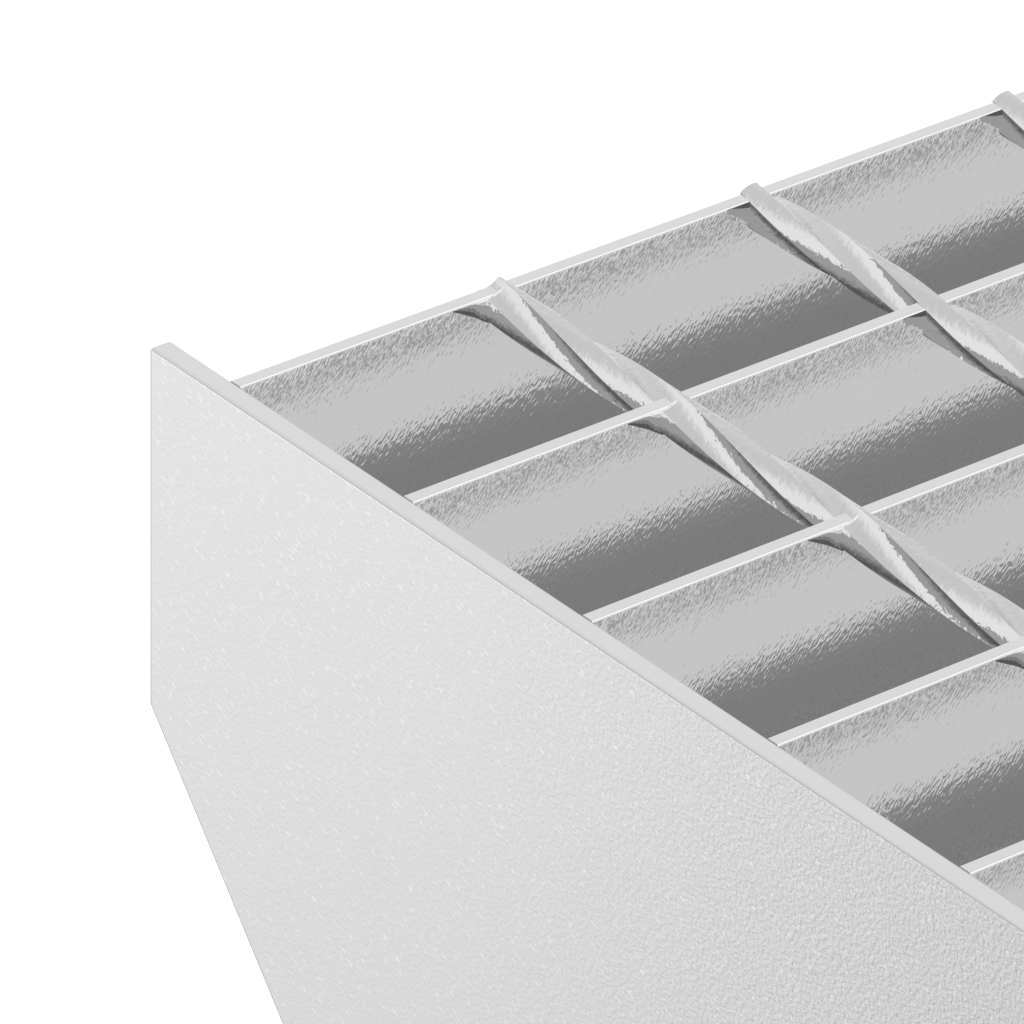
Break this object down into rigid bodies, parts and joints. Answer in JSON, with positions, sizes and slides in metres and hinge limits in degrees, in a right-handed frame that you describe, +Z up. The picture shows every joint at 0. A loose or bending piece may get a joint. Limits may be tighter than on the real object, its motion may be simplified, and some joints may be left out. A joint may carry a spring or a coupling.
{
  "type": "stair tread",
  "caption": "Galvanised grating stair tread: bearing bars with twisted cross rods between bolt-on end plates, with a folded perforated nosing along the front.",
  "frame": {"origin": "on the floor under the middle of the tread, at the foot of the end plates", "axes": "+X along the tread to the right-hand end plate, +Y to the rear edge, +Z up"},
  "size_m": [0.6, 0.27, 0.1009],
  "materials": {
    "galvanised_steel": "hot-dip galvanised, pale grey and softly shining"
  },
  "bodies": {
    "root": {"bar_welds_left": "galvanised_steel", "bar_welds_right": "galvanised_steel", "bearing_bar_1": "galvanised_steel", "bearing_bar_2": "galvanised_steel", "bearing_bar_3": "galvanised_steel", "bearing_bar_4": "galvanised_steel", "bearing_bar_5": "galvanised_steel", "bearing_bar_6": "galvanised_steel", "bearing_bar_7": "galvanised_steel", "bearing_bar_8": "galvanised_steel", "cross_rod_01": "galvanised_steel", "cross_rod_02": "galvanised_steel", "cross_rod_03": "galvanised_steel", "cross_rod_04": "galvanised_steel", "cross_rod_05": "galvanised_steel", "cross_rod_06": "galvanised_steel", "cross_rod_07": "galvanised_steel", "cross_rod_08": "galvanised_steel", "cross_rod_09": "galvanised_steel", "cross_rod_10": "galvanised_steel", "cross_rod_11": "galvanised_steel", "cross_rod_12": "galvanised_steel", "cross_rod_13": "galvanised_steel", "cross_rod_14": "galvanised_steel", "end_plate_left": "galvanised_steel", "end_plate_right": "galvanised_steel", "nosing": "galvanised_steel", "nosing_welds": "galvanised_steel"}
  },
  "joints": []
}
